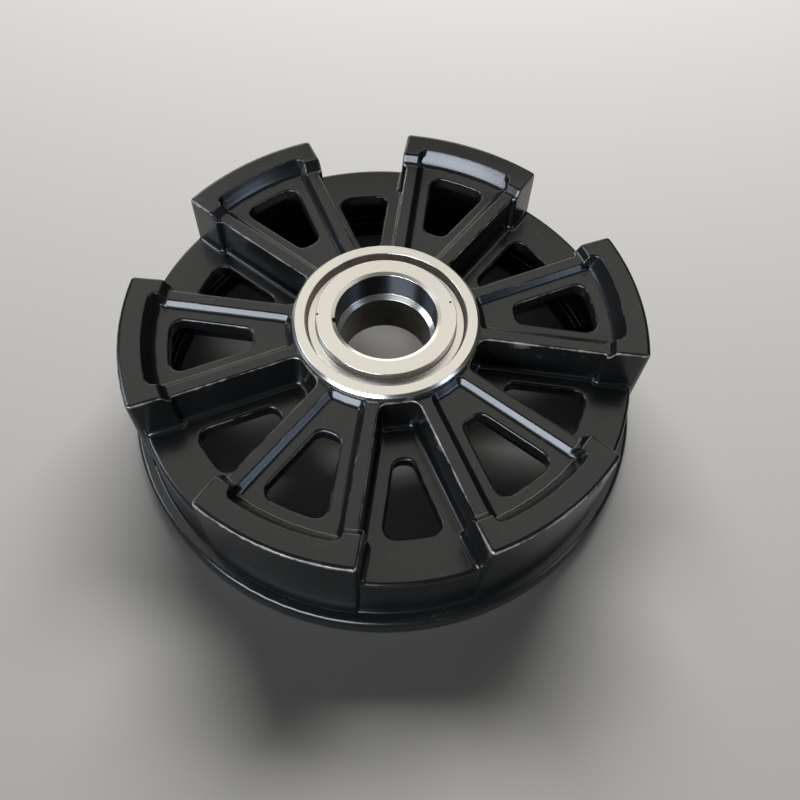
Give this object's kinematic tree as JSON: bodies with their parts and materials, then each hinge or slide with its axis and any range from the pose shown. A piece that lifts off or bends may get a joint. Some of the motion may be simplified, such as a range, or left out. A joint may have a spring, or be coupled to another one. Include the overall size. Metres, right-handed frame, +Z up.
{
  "type": "crane sprocket",
  "caption": "Round black cast drive wheel of a crawler crane with raised lugs, ribs and windows, a flanged drum and a bright turned hub with a stepped bore.",
  "frame": {"origin": "middle of the bottom face of the flange, on the wheel axis", "axes": "+Z up along the wheel axis towards the lug tops, +X through the middle of one lug"},
  "size_m": [0.4859, 0.486, 0.133],
  "materials": {
    "black_paint": "satin black paint over cast steel, lightly chipped on its edges",
    "turned_steel": "bright turned steel, polished in the bore"
  },
  "bodies": {
    "root": {"wheel_casting": "black_paint", "hub_sleeve": "turned_steel"}
  },
  "joints": []
}
